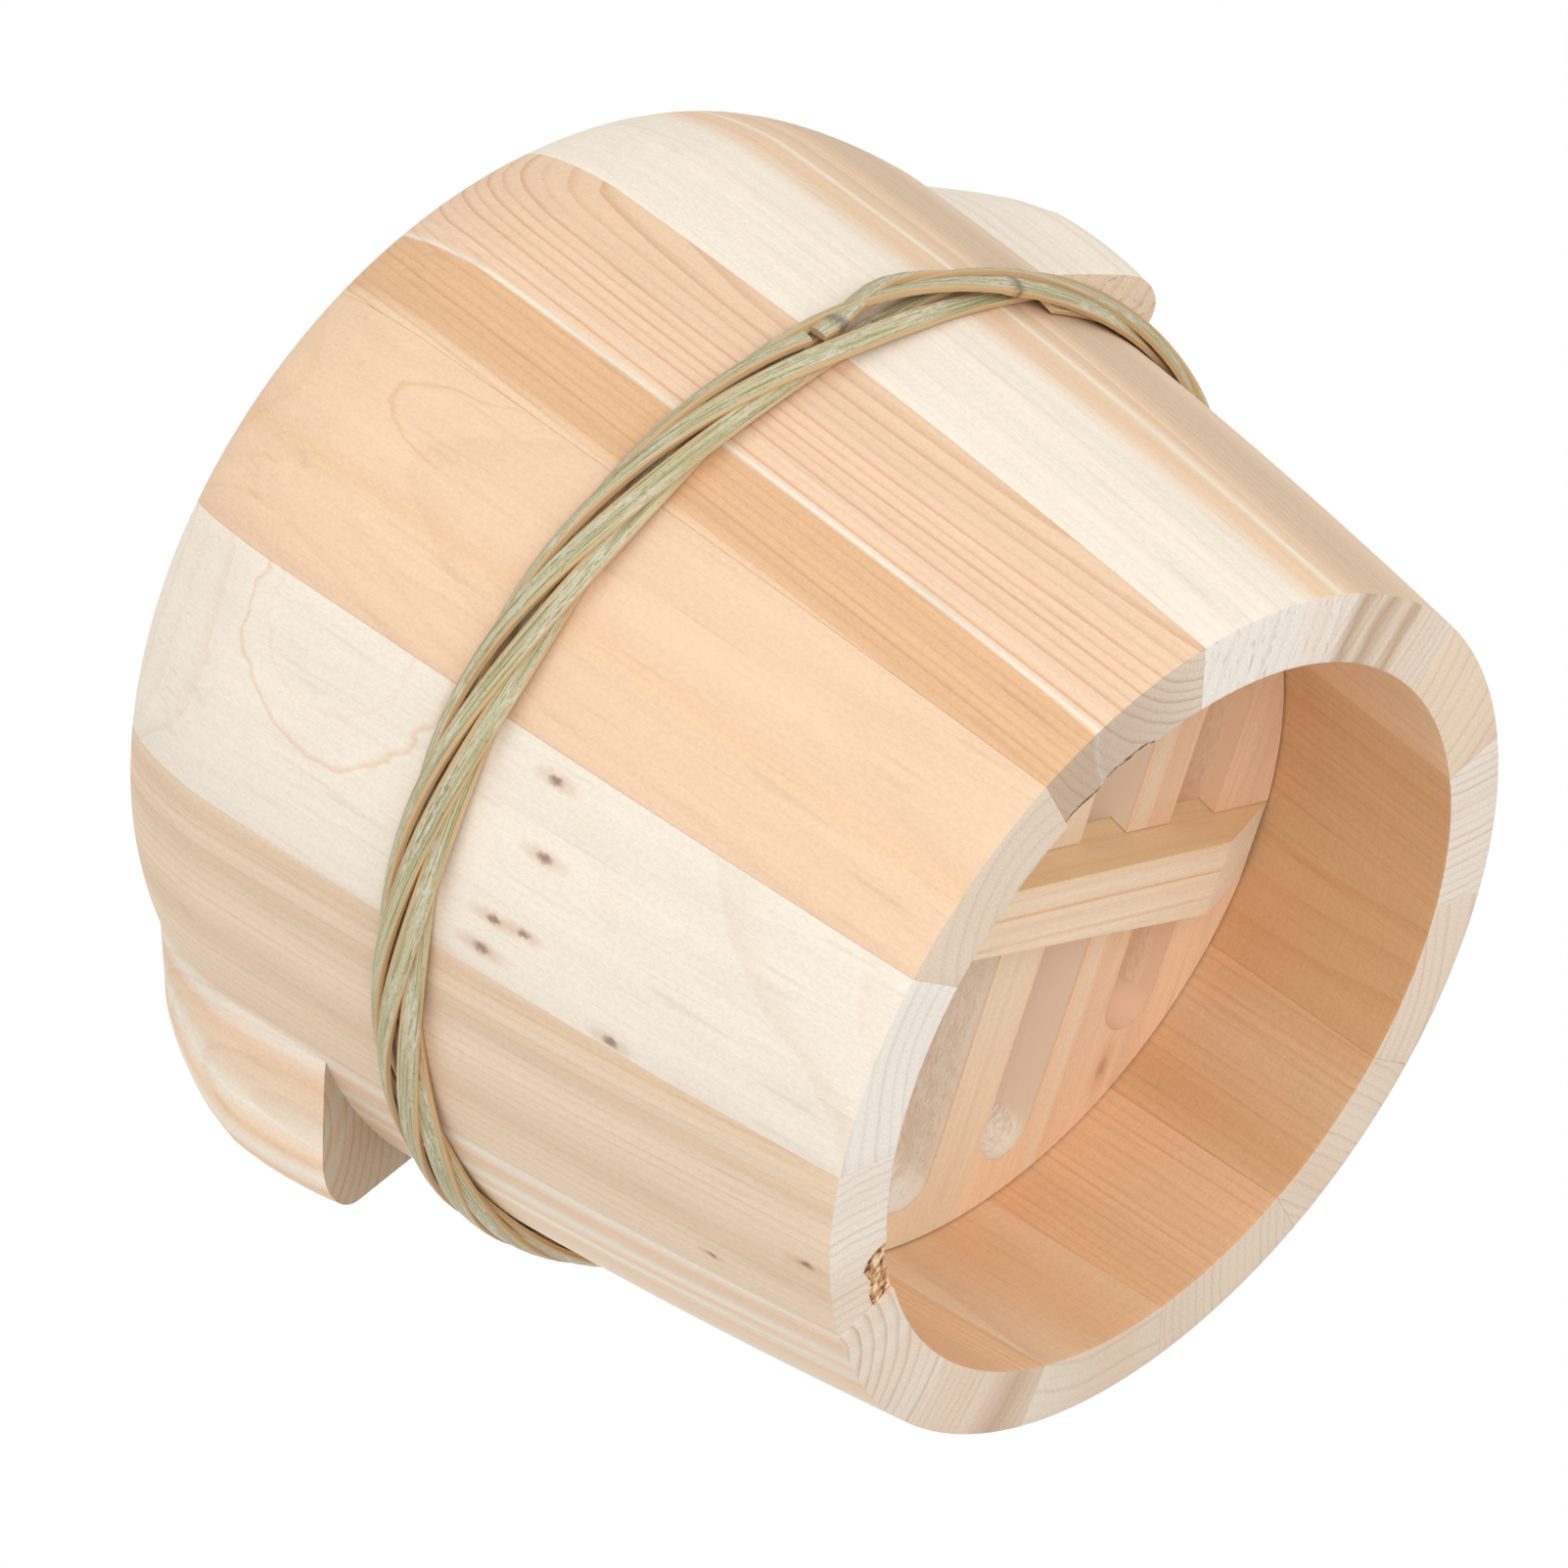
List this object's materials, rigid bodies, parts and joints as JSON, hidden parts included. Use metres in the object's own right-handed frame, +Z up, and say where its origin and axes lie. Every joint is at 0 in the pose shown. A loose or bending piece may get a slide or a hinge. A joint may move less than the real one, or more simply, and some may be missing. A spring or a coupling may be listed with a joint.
{
  "type": "wooden rice steamer",
  "caption": "Tapered coopered wooden barrel open at both ends, bound by a twisted bamboo hoop, with carved lifting ears and a slotted lift-out grate for steaming rice.",
  "frame": {"origin": "centre of the barrel's bottom opening, on the plane the bottom rim rests on", "axes": "+Z up the barrel's axis towards the mouth, X through the two ears, +X towards the right ear"},
  "size_m": [0.286, 0.2494, 0.203],
  "materials": {
    "stave_wood": "bare planed softwood, oiled by handling",
    "grate_wood": "bare sawn softwood",
    "pin_bamboo": "bare split bamboo",
    "hoop_bamboo": "split bamboo with its grey-green skin outwards"
  },
  "bodies": {
    "barrel": {"stave_01": "stave_wood", "stave_02": "stave_wood", "stave_03": "stave_wood", "stave_04": "stave_wood", "stave_05": "stave_wood", "stave_06": "stave_wood", "stave_07": "stave_wood", "stave_08": "stave_wood", "stave_09": "stave_wood", "stave_10": "stave_wood", "stave_11": "stave_wood", "stave_12": "stave_wood", "ear_stave_right": "stave_wood", "ear_stave_left": "stave_wood", "stave_pin_low_01": "pin_bamboo", "stave_pin_low_02": "pin_bamboo", "stave_pin_low_03": "pin_bamboo", "stave_pin_low_04": "pin_bamboo", "stave_pin_low_05": "pin_bamboo", "stave_pin_low_06": "pin_bamboo", "stave_pin_low_07": "pin_bamboo", "stave_pin_low_08": "pin_bamboo", "stave_pin_low_09": "pin_bamboo", "stave_pin_low_10": "pin_bamboo", "stave_pin_low_11": "pin_bamboo", "stave_pin_low_12": "pin_bamboo", "stave_pin_low_13": "pin_bamboo", "stave_pin_low_14": "pin_bamboo", "stave_pin_high_01": "pin_bamboo", "stave_pin_high_02": "pin_bamboo", "stave_pin_high_03": "pin_bamboo", "stave_pin_high_04": "pin_bamboo", "stave_pin_high_05": "pin_bamboo", "stave_pin_high_06": "pin_bamboo", "stave_pin_high_07": "pin_bamboo", "stave_pin_high_08": "pin_bamboo", "stave_pin_high_09": "pin_bamboo", "stave_pin_high_10": "pin_bamboo", "stave_pin_high_11": "pin_bamboo", "stave_pin_high_12": "pin_bamboo", "stave_pin_high_13": "pin_bamboo", "stave_pin_high_14": "pin_bamboo", "bamboo_hoop": "hoop_bamboo"},
    "grate": {"grate_board_1": "grate_wood", "grate_board_2": "grate_wood", "grate_board_3": "grate_wood", "grate_board_4": "grate_wood", "grate_board_5": "grate_wood", "grate_batten": "grate_wood"}
  },
  "joints": [
    {"name": "grate_lift", "type": "slide", "parent": "barrel", "child": "grate", "axis": [0, 0, 1], "range_m": [0, 0.162]}
  ]
}
